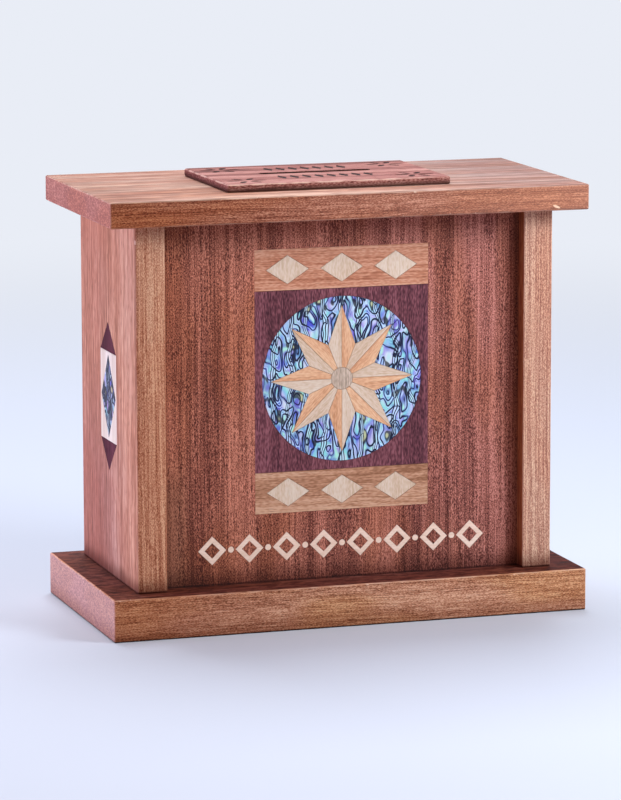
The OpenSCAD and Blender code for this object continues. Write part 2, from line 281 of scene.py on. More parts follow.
wearInputs = {
    "Vector": ("Vector", None), "Middle": ("Vector", None), "Half Size": ("Vector", None),
    "Reach": ("Float", 1.0),  # millimetres
}
wearLook = {
    "patchScale": 160.0, "patchReach": (0.5, 1.2), "rubbedHighlight": (0.3, 1.0),  # noise per metre, shares of reach
    "nickScale": 420.0, "nickShows": (0.69, 0.74), "nickReach": (0.2, 1.1),  # millimetres
}


def buildEdgeWear():  # rubbed arrises, pale from wear and also as a painted highlight, and small pale nicks along a board's edges, none on its faces
    tree, given, out = newGroup("edgeWear", wearInputs, {"RubbedHighlight": "Float", "Nicks": "Float"})
    offset = vectorCalc(tree, "ABSOLUTE", vectorCalc(tree, "SUBTRACT", given["Vector"], given["Middle"]))
    inside = vectorCalc(tree, "SUBTRACT", given["Half Size"], offset)
    x, y, z = splitVector(tree, vectorCalc(tree, "MULTIPLY", inside, toMillimetres))
    second = calc(tree, "MINIMUM", calc(tree, "MAXIMUM", x, y), z)
    second = calc(tree, "MAXIMUM", calc(tree, "MINIMUM", x, y), second)  # depth under the second nearest face
    patchy = noise(tree, given["Vector"], detail=3.0, scale=wearLook["patchScale"])[0]
    reach = times(tree, given["Reach"], remap(tree, patchy, *noiseSpan, *wearLook["patchReach"]))
    rubbedHighlight = fall(tree, calc(tree, "DIVIDE", second, reach), *wearLook["rubbedHighlight"])
    chipped = noise(tree, given["Vector"], scale=wearLook["nickScale"])[0]
    nicks = remap(tree, chipped, *wearLook["nickShows"])
    feed(tree, out["RubbedHighlight"], rubbedHighlight)
    feed(tree, out["Nicks"], times(tree, nicks, fall(tree, second, *wearLook["nickReach"])))
    return tree


fanInputs = {"Vector": ("Vector", None), "Middle": ("Vector", None), "Points": ("Float", 8.0)}
veneerStep = 0.31  # metres between the bits of veneer that neighbouring points are cut from


def buildFan():  # turns the grain of a star so that it runs out along each point
    tree, given, out = newGroup("fanGrain", fanInputs, {"Vector": "Vector"})
    local = vectorCalc(tree, "SUBTRACT", given["Vector"], given["Middle"])
    x, y, z = splitVector(tree, local)
    turn = calc(tree, "DIVIDE", calc(tree, "ARCTAN2", x, z), math.tau)
    nearest = calc(tree, "ROUND", times(tree, turn, given["Points"]))
    lean = minus(tree, turn, calc(tree, "DIVIDE", nearest, given["Points"]))
    lean = times(tree, lean, math.tau)
    radius = vectorLength(tree, local)
    along = times(tree, radius, calc(tree, "COSINE", lean))
    across = times(tree, radius, calc(tree, "SINE", lean))
    ownPiece = calc(tree, "MULTIPLY_ADD", nearest, veneerStep, y)
    feed(tree, out["Vector"], joinVector(tree, along, across, ownPiece))
    return tree


shellLook = {
    "growth": (5.6, 13.0), "warp": (7.0, 11.2), "warpReach": (6.4, 9.6),  # millimetres across and upward
    "hue": (9.0, 14.0), "spots": (5.0, 7.5), "rims": (6.0, 10.0), "lines": (5.0, 8.0), "sway": (18.0, 12.0),
    "contours": 10.0, "leastSlope": 0.12, "layerShift": 0.37, "hueShift": 1.8, "rimPlace": 0.5,
    "swayReach": 10.0, "columnPitch": 7.4, "columnGap": 0.85, "palePart": 0.9, "paleShare": 0.55,
    "lineWidth": (0.45, 1.9), "pairFade": (0.5, 1.2), "outlineFade": (0.8, 1.4),  # in line widths
    "shadeFade": (0.2, 1.1, 0.75, 0.0), "rimFade": (0.04, 0.24, 0.8, 0.0),  # millimetres, then shares
    "reliefReach": 0.6,
    "violetNoise": (0.47, 0.53), "rimNoise": (0.42, 0.52), "deepNoise": (0.58, 0.68, 0.0, 0.8),
    "oliveNoise": (0.62, 0.66, 0.0, 0.9), "goldNoise": (0.69, 0.73, 0.0, 0.9),
    "sheens": [(0.0, "#8489cc"), (0.14, "#c4b8da"), (0.28, "#8db8d4"), (0.42, "#8fd4cb"), (0.55, "#d2d2dc"),
               (0.7, "#a48ece"), (0.84, "#aee2c6"), (1.0, "#7f9bd0")],
    "outline": "#060a2a", "shade": "#3a45a0", "rim": "#cfe3f4",
    "deep": "#3238b8", "violet": "#6340b4", "olive": "#2c2b26", "gold": "#c9c394",
}


def fillRamp(ramp, stops):
    elements = ramp.color_ramp.elements
    while len(elements) < len(stops):
        elements.new(0.5)
    for element, (place, code) in zip(elements, stops):
        element.position = place
        element.color = paint(code)


def buildShell():  # abalone: pearly bands in blue, green and violet between dark growth lines
    shellInputs = {"Vector": ("Vector", None), "Line Width": ("Float", 0.2)}
    tree, given, out = newGroup("pearlShell", shellInputs, {"Color": "Color", "Height": "Float"})
    look = shellLook
    x, y, z = splitVector(tree, vectorCalc(tree, "MULTIPLY", given["Vector"], toMillimetres))

    def field(name, across, upward):
        across = calc(tree, "DIVIDE", across, look[name][0])
        upward = calc(tree, "DIVIDE", upward, look[name][1])
        return noise(tree, joinVector(tree, across, 0.0, upward), detail=1.0, roughness=0.4)

    def growthAt(across, upward):  # layers of nacre, bent by a slower wave
        bend = vectorCalc(tree, "SUBTRACT", field("warp", across, upward)["Color"], (0.5, 0.5, 0.5))
        bend = splitVector(tree, bend)
        across = calc(tree, "MULTIPLY_ADD", bend[0], look["warpReach"][0], across)
        upward = calc(tree, "MULTIPLY_ADD", bend[1], look["warpReach"][1], upward)
        return times(tree, field("growth", across, upward)[0], look["contours"])

    def slopeTo(across, upward):
        return calc(tree, "DIVIDE", minus(tree, growthAt(across, upward), growth), step)

    step = 0.1  # millimetres
    growth = growthAt(x, z)
    slopeX = slopeTo(calc(tree, "ADD", x, step), z)
    slopeZ = slopeTo(x, calc(tree, "ADD", z, step))
    slope = calc(tree, "SQRT", calc(tree, "MULTIPLY_ADD", slopeX, slopeX, times(tree, slopeZ, slopeZ)))
    slope = calc(tree, "MAXIMUM", slope, look["leastSlope"])
    fromLine = calc(tree, "DIVIDE", calc(tree, "PINGPONG", growth, 0.5), slope)
    layer = calc(tree, "FLOOR", growth)

    hue = splitColour(tree, field("hue", x, z)["Color"])
    tone = calc(tree, "MULTIPLY_ADD", layer, look["layerShift"], times(tree, hue[0], look["hueShift"]))
    sheen = addNode(tree, "ShaderNodeValToRGB", {0: calc(tree, "FRACT", tone)})
    fillRamp(sheen, look["sheens"])
    colour = mixColour(tree, remap(tree, fromLine, *look["shadeFade"]), sheen.outputs[0], look["shade"])
    spots = splitColour(tree, field("spots", x, z)["Color"])
    deepHue = mixColour(tree, remap(tree, hue[0], *look["violetNoise"]), look["deep"], look["violet"])
    colour = mixColour(tree, remap(tree, spots[1], *look["deepNoise"]), colour, deepHue)
    rim = calc(tree, "ABSOLUTE", minus(tree, fromLine, look["rimPlace"]))
    rimShare = remap(tree, field("rims", x, z)[0], *look["rimNoise"])
    rimShare = times(tree, rimShare, remap(tree, rim, *look["rimFade"]))
    colour = mixColour(tree, rimShare, colour, look["rim"])
    for placeTone in ("olive", "gold"):
        colour = mixColour(tree, remap(tree, spots[2], *look[placeTone + "Noise"]), colour, look[placeTone])
    sway = minus(tree, field("sway", x, z)[0], 0.5)
    column = calc(tree, "MULTIPLY_ADD", sway, look["swayReach"], x)
    fromColumn = calc(tree, "PINGPONG", column, 0.5 * look["columnPitch"])
    gap = look["columnGap"]
    between = remap(tree, fromColumn, look["palePart"] * gap, gap, look["paleShare"], 0.0)
    colour = mixColour(tree, between, colour, look["rim"])  # growth lines stand in pairs, pale between
    fromPair = calc(tree, "ABSOLUTE", minus(tree, fromColumn, gap))
    fromPair = calc(tree, "MINIMUM", fromColumn, fromPair)
    pairShare = fall(tree, calc(tree, "DIVIDE", fromPair, given["Line Width"]), *look["pairFade"])
    colour = mixColour(tree, pairShare, colour, look["outline"])
    lineWidth = remap(tree, field("lines", x, z)[0], *noiseSpan, *look["lineWidth"])
    outline = calc(tree, "DIVIDE", fromLine, times(tree, lineWidth, given["Line Width"]))
    colour = mixColour(tree, fall(tree, outline, *look["outlineFade"]), colour, look["outline"])
    feed(tree, out["Color"], colour)
    feed(tree, out["Height"], remap(tree, fromLine, 0.0, look["reliefReach"]))
    return tree


boardGrain = buildGrain()
edgeWear = buildEdgeWear()
fanGrain = buildFan()
pearlShell = buildShell()
print("shader groups built")


# finishes

def newMaterial(name):
    material = bpy.data.materials.new(name)
    material.use_nodes = True
    tree = material.node_tree
    surface = tree.nodes["Principled BSDF"]
    spot = addNode(tree, "ShaderNodeTexCoord").outputs
    return material, tree, surface, spot


def roughen(tree, surface, height, strength, depth):  # depth in millimetres
    bump = addNode(tree, "ShaderNodeBump", {"Height": height, "Strength": strength, "Distance": depth * mm})
    feed(tree, surface.inputs["Normal"], bump.outputs[0])


grainTurns = {"x": (0, 0, 0), "y": (0, 0, -math.pi / 2), "z": (0, math.pi / 2, 0)}  # brings each axis to X
woodLook = {"ior": 1.45, "shine": 0.22, "bump": 0.6, "bumpDepth": 0.06, "sheltered": 0.45}  # millimetres


def rubbedBox(nodeName):  # a side board's inner arris lies in a corner, where hands hardly rub it and where it gets no painted highlight
    low, high = (corner.copy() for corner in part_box(nodeName))
    if low.x > 0:
        low.x -= woodLook["sheltered"] * mm
    if high.x < 0:
        high.x += woodLook["sheltered"] * mm
    return low, high


def woodFinish(nodeName, wood, along, cutFrom, placeTone=None, fanMiddle=None):
    material, tree, surface, spot = newMaterial(nodeName + "_wood")
    place = spot["Object"]
    if fanMiddle is not None:
        place = useGroup(tree, fanGrain, {"Vector": place, "Middle": fanMiddle})["Vector"]
    turn = grainTurns[along]
    mapped = addNode(tree, "ShaderNodeMapping", {"Vector": place, "Rotation": turn, "Location": cutFrom})
    mapped.inputs["Scale"].default_value = wood.get("spread", (1, 1, 1))
    facing = addNode(tree, "ShaderNodeMapping", {"Vector": spot["Normal"], "Rotation": turn})
    settings = {key: wood[key] for key in grainInputs if key in wood}
    grain = useGroup(tree, boardGrain, {"Vector": mapped.outputs[0], "Normal": facing.outputs[0], **settings})
    colour = grain["Color"]
    if "wear" in wood:
        low, high = rubbedBox(nodeName)
        edges = {"Middle": (low + high) / 2, "Half Size": (high - low) / 2, "Reach": wood["wearReach"]}
        wear = useGroup(tree, edgeWear, {"Vector": spot["Object"], **edges})
        # pale rubbed arrises: partly wear, partly a painted highlight along the edge
        colour = mixColour(tree, times(tree, wear["RubbedHighlight"], wood["wear"]), colour, wood["rubbedHighlight"])
        colour = mixColour(tree, wear["Nicks"], colour, wood["nicked"])
    # tones by place: burnt cuts, a chip, dashes and pores, and painted shade, light and sheen
    if placeTone:
        colour = placeTone(tree, spot["Object"], colour)
    plug(tree, surface, {"Base Color": colour, "Roughness": grain["Roughness"], "IOR": woodLook["ior"]})
    surface.inputs["Specular IOR Level"].default_value = wood.get("shine", woodLook["shine"])
    roughen(tree, surface, grain["Height"], woodLook["bump"], woodLook["bumpDepth"])
    return material


def shades(dark, middle, light):
    return {"Dark": dark, "Middle": middle, "Light": light}


mahogany = {
    "spread": (1, 0.5, 1), "Stripe Width": 5.0, "Fleck": 0.7, "Fleck Length": 0.8, "Fleck Width": 0.25,
    "Pore": 0.3, "Pore Length": 4.0, "Streak": 0.15, "Wander": 5.0,
    # the pale tone of rubbed arrises is partly a painted highlight
    "wearReach": 0.7, "rubbedHighlight": "#e2b9a2", "nicked": "#d8ae96",
}
lidWood = {
    **mahogany, **shades("#622d1e", "#97533d", "#c9886e"), "Tint": "#fff2dc", "Stripe Width": 6.0,
    "Stripe": 0.32, "Lines": 0.22, "Fibre": 0.55, "shine": 0.14, "wear": 0.3,
}
baseWood = {
    **mahogany, **shades("#75402b", "#b97659", "#dda687"), "Tint": "#fbf6e0",
    "Stripe": 0.28, "Lines": 0.2, "Fibre": 0.58, "Pore": 0.35, "shine": 0.1, "wear": 0.35,
}
sideWood = {
    **mahogany, **shades("#87482f", "#bf7f63", "#e3b392"), "Tint": "#fff2ea", "spread": (1, 0.4, 1),
    "Stripe": 0.26, "Lines": 0.42, "Fibre": 0.4, "Fleck Length": 0.7, "Streak": 0.0, "Wander": 3.0,
    "shine": 0.16, "wear": 0.2,
}
sapele = {
    **shades("#4a1d17", "#945042", "#d28472"), "Tint": "#f0e8d8",
    "Stripe Width": 9.0, "Stripe": 0.45, "Lines": 0.3, "Fibre": 0.35, "Wander": 2.0,
    "Fleck": 0.9, "Fleck Length": 0.7, "Fleck Width": 0.25, "Pore": 0.3, "Pore Length": 2.5,
}
plaqueWood = {
    **shades("#472019", "#8d4f46", "#bf8577"),
    "Stripe Width": 8.0, "Stripe": 0.5, "Lines": 0.3, "Fibre": 0.3, "Streak": 0.4, "Wander": 5.0,
    "Fleck": 0.7, "Fleck Length": 1.0, "Fleck Width": 0.45, "Pore": 0.5, "Pore Length": 4.0,
    "shine": 0.12, "wear": 0.8, "wearReach": 0.8, "rubbedHighlight": "#d3a592", "nicked": "#dfbeab",
}
inlayWood = {"Stripe Width": 6.0, "Stripe": 0.5, "Lines": 0.3, "Fleck": 0.5, "Pore": 0.25}
anigre = {**inlayWood, **shades("#c8855f", "#dfa17b", "#eab792")}
silverWood = {**inlayWood, **shades("#a58875", "#c9a995", "#dcbeaa"), "Stripe Width": 4.0, "Lines": 0.4}
cedar = {**inlayWood, **shades("#99573e", "#be775a", "#d39578"), "Stripe Width": 8.0, "Lines": 0.5}
paleWalnut = {
    **inlayWood, **shades("#905b40", "#ba7f61", "#d19d7f"),
    "Stripe Width": 7.0, "Stripe": 0.6, "Lines": 0.5, "Pore": 0.35, "Wander": 9.0,
}
purpleheart = {
    **inlayWood, **shades("#441d25", "#6e383f", "#905259"), "Stripe": 0.4, "Fleck": 0.7, "Pore": 0.5,
}
sideHeart = {**purpleheart, **shades("#341418", "#562830", "#703a43"), "shine": 0.1}
maple = {
    **inlayWood, **shades("#c79f82", "#d8b49c", "#e0c3ae"),
    "Stripe Width": 7.0, "Lines": 0.2, "Pore": 0.12, "Wander": 7.0,
}
pinkMaple = {**maple, **shades("#eabfa6", "#f4cab4", "#f9d5c2")}
leftMaple = {
    **inlayWood, **shades("#d2bc9f", "#e6d5bb", "#eee1cf"), "Fleck": 0.4, "Pore": 0.1, "shine": 0.15,
}
rightMaple = {**leftMaple, **shades("#d0af95", "#e2c7af", "#ead4c0")}
pine = {
    **shades("#b98955", "#d9b48a", "#ead0aa"),
    "Stripe Width": 5.0, "Stripe": 0.8, "Lines": 0.4, "Fleck": 0.3, "Pore": 0.05, "shine": 0.15,
}


frontShell = {
    "line": 0.2, "turn": (0, 0, 0), "tone": "#ffffff", "spread": (1, 1, 1), "shine": 0.28, "coat": 0.04,
}
sideShell = {  # less polished, so its dark lines stay dark at a grazing view
    "line": 0.36, "turn": (0, 0, math.pi / 2), "tone": "#fff0ea", "spread": (1, 0.8, 1),
    "shine": 0.06, "coat": 0.0,
}
polish = {"roughness": 0.3, "coatRoughness": 0.1, "bump": 0.2, "bumpDepth": 0.1}  # millimetres


def shellFinish(name, shell):
    material, tree, surface, spot = newMaterial(name)
    cut = {"Vector": spot["Object"], "Rotation": shell["turn"], "Scale": shell["spread"]}
    mapped = addNode(tree, "ShaderNodeMapping", cut)
    pearl = useGroup(tree, pearlShell, {"Vector": mapped.outputs[0], "Line Width": shell["line"]})
    plug(tree, surface, {
        "Base Color": tint(tree, 1.0, pearl["Color"], shell["tone"]),
        "Roughness": polish["roughness"], "Specular IOR Level": shell["shine"],
        "Coat Weight": shell["coat"], "Coat Roughness": polish["coatRoughness"],
    })
    roughen(tree, surface, pearl["Height"], polish["bump"], polish["bumpDepth"])
    return material


brassLook = {
    "bright": "#c9ab62", "dull": "#80683a", "dulled": (0.35, 0.7),
    "patchScale": 700.0, "roughness": (0.28, 0.5),  # noise per metre
}


def brassFinish():
    material, tree, surface, spot = newMaterial("screwBrass")
    tarnish = noise(tree, spot["Object"], detail=4.0, scale=brassLook["patchScale"])[0]
    roughness = remap(tree, tarnish, *noiseSpan, *brassLook["roughness"])
    dulled = remap(tree, tarnish, *brassLook["dulled"])
    colour = mixColour(tree, dulled, brassLook["bright"], brassLook["dull"])
    plug(tree, surface, {"Base Color": colour, "Roughness": roughness, "Metallic": 1.0})
    return material


# tones that depend on where a spot lies on its board, most of them painted light and shade

innerFace, outerFace = (corner.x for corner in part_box("right_side_board"))
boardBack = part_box("right_side_board")[1].y
panelFace = -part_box("front_panel")[0].y
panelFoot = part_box("front_panel")[0].z
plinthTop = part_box("base_board")[1].z
skins = {  # millimetres under a face where its own tone is whole, and where it is gone
    "front": (0.3, 0.6), "top": (0.2, 0.5), "end": (0.05, 0.3),
    "inner": (0.05, 0.2), "lip": (0.0, 0.4), "outer": (0.0, 0.3), "stile": (0.0, 0.6),
}


def skin(tree, depth, name):
    return fall(tree, depth, *metres(skins[name]))


def insideOutline(tree, place, nodeName):  # metres in from the node's outline, seen from above
    low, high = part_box(nodeName)
    fromMiddle = vectorCalc(tree, "ABSOLUTE", vectorCalc(tree, "SUBTRACT", place, (low + high) / 2))
    x, y, z = splitVector(tree, vectorCalc(tree, "SUBTRACT", (high - low) / 2, fromMiddle))
    return calc(tree, "MINIMUM", x, y)


def belowTop(tree, place, nodeName):  # metres under the node's highest face
    return minus(tree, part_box(nodeName)[1].z, splitVector(tree, place)[2])


carvedLook = {
    "burnt": "#220b06", "burntShare": 0.95, "cutDepth": (0.02, 0.2), "margin": (1.0, 1.2),  # millimetres
    # edge: painted shade on the plaque's sides
    "edge": "#4a2a23", "sideShadeShare": 0.85, "sideShadeDepth": (0.5, 2.8),
}


def burntCutsShadedSides(tree, place, colour):  # the plaque's cuts are burnt dark, and its sides carry painted shade, darker towards the bottom
    depth = belowTop(tree, place, "slot_plaque")
    within = remap(tree, insideOutline(tree, place, "slot_plaque"), *metres(carvedLook["margin"]))
    # painted shade on the plaque's sides, deeper towards the bottom
    edge = remap(tree, depth, *metres(carvedLook["sideShadeDepth"]), 0.0, carvedLook["sideShadeShare"])
    edge = times(tree, edge, minus(tree, 1.0, within))
    colour = mixColour(tree, edge, colour, carvedLook["edge"])
    cut = remap(tree, depth, *metres(carvedLook["cutDepth"]), 0.0, carvedLook["burntShare"])
    return mixColour(tree, times(tree, cut, within), colour, carvedLook["burnt"])


def shadedFrontEdge(tree, place, colour, nodeName, tone):  # painted shade: a board's front edge is darker towards its left end, where less light falls
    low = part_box(nodeName)[0]
    x, y, z = splitVector(tree, place)
    front = skin(tree, minus(tree, y, low.y), "front")
    share = times(tree, front, fall(tree, x, low.x, 0.0))
    return tint(tree, share, colour, tone), front


def sheenPaintedEnds(tree, place, colour, nodeName, tones):  # painted sheen: the end grain is mixed towards a pale tone that stands in for its reflection
    fromMiddle = calc(tree, "ABSOLUTE", splitVector(tree, place)[0])
    fromEnd = minus(tree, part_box(nodeName)[1].x, fromMiddle)
    share = times(tree, skin(tree, fromEnd, "end"), tones["endSheenShare"])
    return mixColour(tree, share, colour, tones["endSheen"])


lidTones = {
    # dark and light: painted shade and light along the front; cream: the top's figure, also painted sheen;
    # cool: painted sheen on the top
    "dark": "#e9dcc7", "light": "#d6987f", "lightShare": 0.2, "lightFrom": 0.5,
    "cool": "#e0e3f0", "coolTo": 0.8,
    "cream": "#f0cfb8", "creamShare": 0.3, "creamLeast": 0.25, "sparkShare": 0.14,
    "dash": "#6e3a26", "dashShare": 0.8, "poreShare": 0.7,
    "endSheen": "#eeb9ab", "endSheenShare": 0.146,
    "chip": "#e4b695", "chipPlace": (87.2, 169.2), "chipSize": (1.8, 0.6), "chipSlope": 0.35,  # millimetres
    "chipCore": 0.7,
}
lidFigures = {  # length and width in millimetres, detail, noise from which it shows and from which it is full
    "bands": (170, 15, 1.0, 0.36, 0.64),
    "dashFields": (80, 5.0, 2.0, 0.43, 0.57),
    "dashes": (26, 1.3, 2.0, 0.4, 0.56),
    "pores": (11, 0.5, 1.0, 0.5, 0.64),
    "sparks": (50, 1.5, 2.0, 0.48, 0.62),
}


def chipMark(tree, x, z):  # a small slanting oval
    (midX, midZ), (halfX, halfZ) = lidTones["chipPlace"], lidTones["chipSize"]
    across = calc(tree, "MULTIPLY_ADD", x, 1 / mm, -midX)
    upward = calc(tree, "MULTIPLY_ADD", z, 1 / mm, -midZ)
    upward = calc(tree, "MULTIPLY_ADD", across, lidTones["chipSlope"], upward)
    spot = joinVector(tree, calc(tree, "DIVIDE", across, halfX), calc(tree, "DIVIDE", upward, halfZ), 0.0)
    return fall(tree, vectorLength(tree, spot), lidTones["chipCore"], 1.0)


def tonedLid(tree, place, colour):  # painted shade and light along the front; cream bands and sparks, dark dashes and pores on the top, the cream partly painted sheen, and a painted cool sheen on its right part; one chip on the front; painted sheen on the ends
    low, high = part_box("lid_board")
    x, y, z = splitVector(tree, place)
    colour, front = shadedFrontEdge(tree, place, colour, "lid_board", lidTones["dark"])
    # painted light: the front is lighter towards its right end
    paintedLightEnd = remap(tree, x, lidTones["lightFrom"] * low.x, high.x, 0.0, lidTones["lightShare"])
    colour = mixColour(tree, times(tree, front, paintedLightEnd), colour, lidTones["light"])

    def figure(name):
        length, width, detail, start, full = lidFigures[name]
        along = calc(tree, "DIVIDE", x, length * mm)
        spot = joinVector(tree, along, calc(tree, "DIVIDE", y, width * mm), 0.0)
        return remap(tree, noise(tree, spot, detail=detail)[0], start, full)

    top = skin(tree, minus(tree, high.z, z), "top")
    # the cream bands are the wood's figure and also painted sheen that lightens the top
    least = lidTones["creamLeast"]
    bands = calc(tree, "MULTIPLY_ADD", figure("bands"), 1.0 - least, least)
    colour = mixColour(tree, times(tree, top, bands, lidTones["creamShare"]), colour, lidTones["cream"])
    dashes = times(tree, figure("dashFields"), figure("dashes"))
    dashes = calc(tree, "MAXIMUM", dashes, times(tree, figure("pores"), lidTones["poreShare"]))
    colour = mixColour(tree, times(tree, top, dashes, lidTones["dashShare"]), colour, lidTones["dash"])
    sparks = times(tree, top, figure("sparks"), lidTones["sparkShare"])
    colour = mixColour(tree, sparks, colour, lidTones["cream"])
    # painted sheen: a cool tint on the top's right part
    right = remap(tree, x, 0.0, lidTones["coolTo"] * high.x)
    colour = tint(tree, times(tree, top, right), colour, lidTones["cool"])
    colour = mixColour(tree, times(tree, front, chipMark(tree, x, z)), colour, lidTones["chip"])
    return sheenPaintedEnds(tree, place, colour, "lid_board", lidTones)


baseTones = {
    # painted shade: dark along the front towards the left end, the ledge tones on the plinth's top, the low
    # tone along its foot and the darkest tone at its bottom edge, a contact shadow; the pale end tone is
    # painted sheen; the mottle is uneven tone
    "dark": "#f2e2dc", "ledge": "#987a85", "ledgeEnd": "#7e555c", "endSpan": (0.75, 0.95),
    "ledgeRim": (0.4, 0.9), "ledgeDepth": (0.05, 0.2),  # millimetres
    "mottle": "#a5908c", "mottleScale": (160, 420, 160), "mottleShows": (0.42, 0.62),  # noise per metre
    "endSheen": "#cabcbe", "endSheenShare": 0.278,
    "low": "#ddd2cd", "lowRise": (0.0, 9.0), "contactShade": "#5a4440", "contactShadeRise": (0.3, 1.0),
}


def shadePaintedLedge(tree, place, colour):  # painted shade on the plinth's top, which the lid keeps out of the light, and along its front towards the left end
    colour = shadedFrontEdge(tree, place, colour, "base_board", baseTones["dark"])[0]
    x, y, z = splitVector(tree, place)
    share = remap(tree, insideOutline(tree, place, "base_board"), *metres(baseTones["ledgeRim"]))
    # painted shade over the ledge, where the lid keeps the light off
    depth = belowTop(tree, place, "base_board")
    share = times(tree, share, fall(tree, depth, *metres(baseTones["ledgeDepth"])))
    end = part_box("base_board")[1].x
    rightEnd = remap(tree, x, *[part * end for part in baseTones["endSpan"]])
    ledge = mixColour(tree, rightEnd, baseTones["ledge"], baseTones["ledgeEnd"])
    colour = tint(tree, share, colour, ledge)
    spot = vectorCalc(tree, "MULTIPLY", place, baseTones["mottleScale"])
    uneven = noise(tree, spot, detail=3.0, roughness=0.7)[0]
    mottle = times(tree, share, remap(tree, uneven, *baseTones["mottleShows"]))
    colour = tint(tree, mottle, colour, baseTones["mottle"])
    colour = sheenPaintedEnds(tree, place, colour, "base_board", baseTones)
    # painted shade: the plinth is darker low down, and darkest at its bottom edge as a painted contact shadow
    lowPlinth = fall(tree, z, *metres(baseTones["lowRise"]))
    colour = tint(tree, lowPlinth, colour, baseTones["low"])
    contactShade = fall(tree, z, *metres(baseTones["contactShadeRise"]))
    return tint(tree, contactShade, colour, baseTones["contactShade"])


footTones = {"foot": "#b09d99", "seam": "#9c827c", "seamRise": (0.4, 1.1)}  # millimetres


def shadePaintedFoot(tree, place, colour, rise):  # painted shade at the foot of a board or panel that stands on the plinth, and a painted contact shadow at the seam
    above = minus(tree, splitVector(tree, place)[2], plinthTop)
    foot = fall(tree, above, *metres(rise))
    colour = tint(tree, foot, colour, footTones["foot"])
    seam = fall(tree, above, *metres(footTones["seamRise"]))
    return tint(tree, seam, colour, footTones["seam"])


boardTones = {
    # painted light and shade: the rear tone, the lip in shade, a paler outer face as sheen, and the two
    # stiles' fronts lit and shaded
    "rearShade": "#ecd2ce", "rearShadeReach": (22.0, 55.0), "footRise": (0.5, 8.0),  # millimetres
    "lip": "#c49c7c", "outerSheen": "#d6c79d", "outerSheenShare": 0.1,
    "low": "#ece7f6", "lowRise": (30.0, 95.0), "lowFrom": (-40.0, 5.0), "lowLeast": 0.2,
    "paleStile": "#ccccda", "paleShare": 0.045, "darkStile": "#f3ece8",
}


def shadePaintedBoard(tree, place, colour):  # painted sheen and shade on a side board: redder and darker towards the back, so the front reads as sheened
    x, y, z = splitVector(tree, place)
    fromMiddle = calc(tree, "ABSOLUTE", x)
    rearShade = fall(tree, minus(tree, boardBack, y), *metres(boardTones["rearShadeReach"]))
    colour = tint(tree, rearShade, colour, boardTones["rearShade"])
    # painted shade on the inner face beside the panel's front
    inner = skin(tree, minus(tree, fromMiddle, innerFace), "inner")
    lip = skin(tree, minus(tree, panelFace, calc(tree, "ABSOLUTE", y)), "lip")
    colour = tint(tree, times(tree, inner, lip), colour, boardTones["lip"])
    # painted sheen: the outer face is mixed towards a pale tone
    outer = skin(tree, minus(tree, outerFace, fromMiddle), "outer")
    colour = mixColour(tree, times(tree, outer, boardTones["outerSheenShare"]), colour, boardTones["outerSheen"])
    # darker and cooler low down towards the back
    lowPart = fall(tree, minus(tree, z, plinthTop), *metres(boardTones["lowRise"]))
    backPart = remap(tree, y, *metres(boardTones["lowFrom"]), boardTones["lowLeast"], 1.0)
    colour = tint(tree, times(tree, outer, lowPart, backPart), colour, boardTones["low"])
    # painted light on the right stile's front, painted shade on the left stile's front
    stile = skin(tree, calc(tree, "ADD", y, boardBack), "stile")
    right = remap(tree, x, 0.0, innerFace, 0.0, boardTones["paleShare"])
    colour = mixColour(tree, times(tree, stile, right), colour, boardTones["paleStile"])
    left = fall(tree, x, -innerFace, 0.0)
    colour = tint(tree, times(tree, stile, left), colour, boardTones["darkStile"])
    return shadePaintedFoot(tree, place, colour, boardTones["footRise"])


panelTones = {
    # painted light and shade: side for the corners, warm and cool for the light across, nook low on the left
    "side": "#b4a291", "sideReach": (0.3, 4.5), "footRise": (0.5, 10.0),  # millimetres
    "warm": "#fff9e7", "cool": "#fbfaff",
    "nook": "#c9ccc4", "nookWidth": (6.0, 15.0), "nookRise": (34.0, 62.0),
}


def shadePaintedPanel(tree, place, colour):  # painted shade in the corners that a panel makes with the boards round it, low on its left and at its foot, and a painted warm-to-cool light across it
    x, y, z = splitVector(tree, place)
    fromSide = minus(tree, innerFace, calc(tree, "ABSOLUTE", x))
    corner = fall(tree, fromSide, *metres(panelTones["sideReach"]))
    colour = tint(tree, corner, colour, panelTones["side"])
    # painted light: warmer on the left, cooler on the right
    cast = mixColour(tree, remap(tree, x, -innerFace, innerFace), panelTones["warm"], panelTones["cool"])
    colour = tint(tree, 1.0, colour, cast)
    # painted shade low on the left
    leftPart = fall(tree, calc(tree, "ADD", x, innerFace), *metres(panelTones["nookWidth"]))
    lowPart = fall(tree, minus(tree, z, panelFoot), *metres(panelTones["nookRise"]))
    colour = tint(tree, times(tree, leftPart, lowPart), colour, panelTones["nook"])
    return shadePaintedFoot(tree, place, colour, panelTones["footRise"])


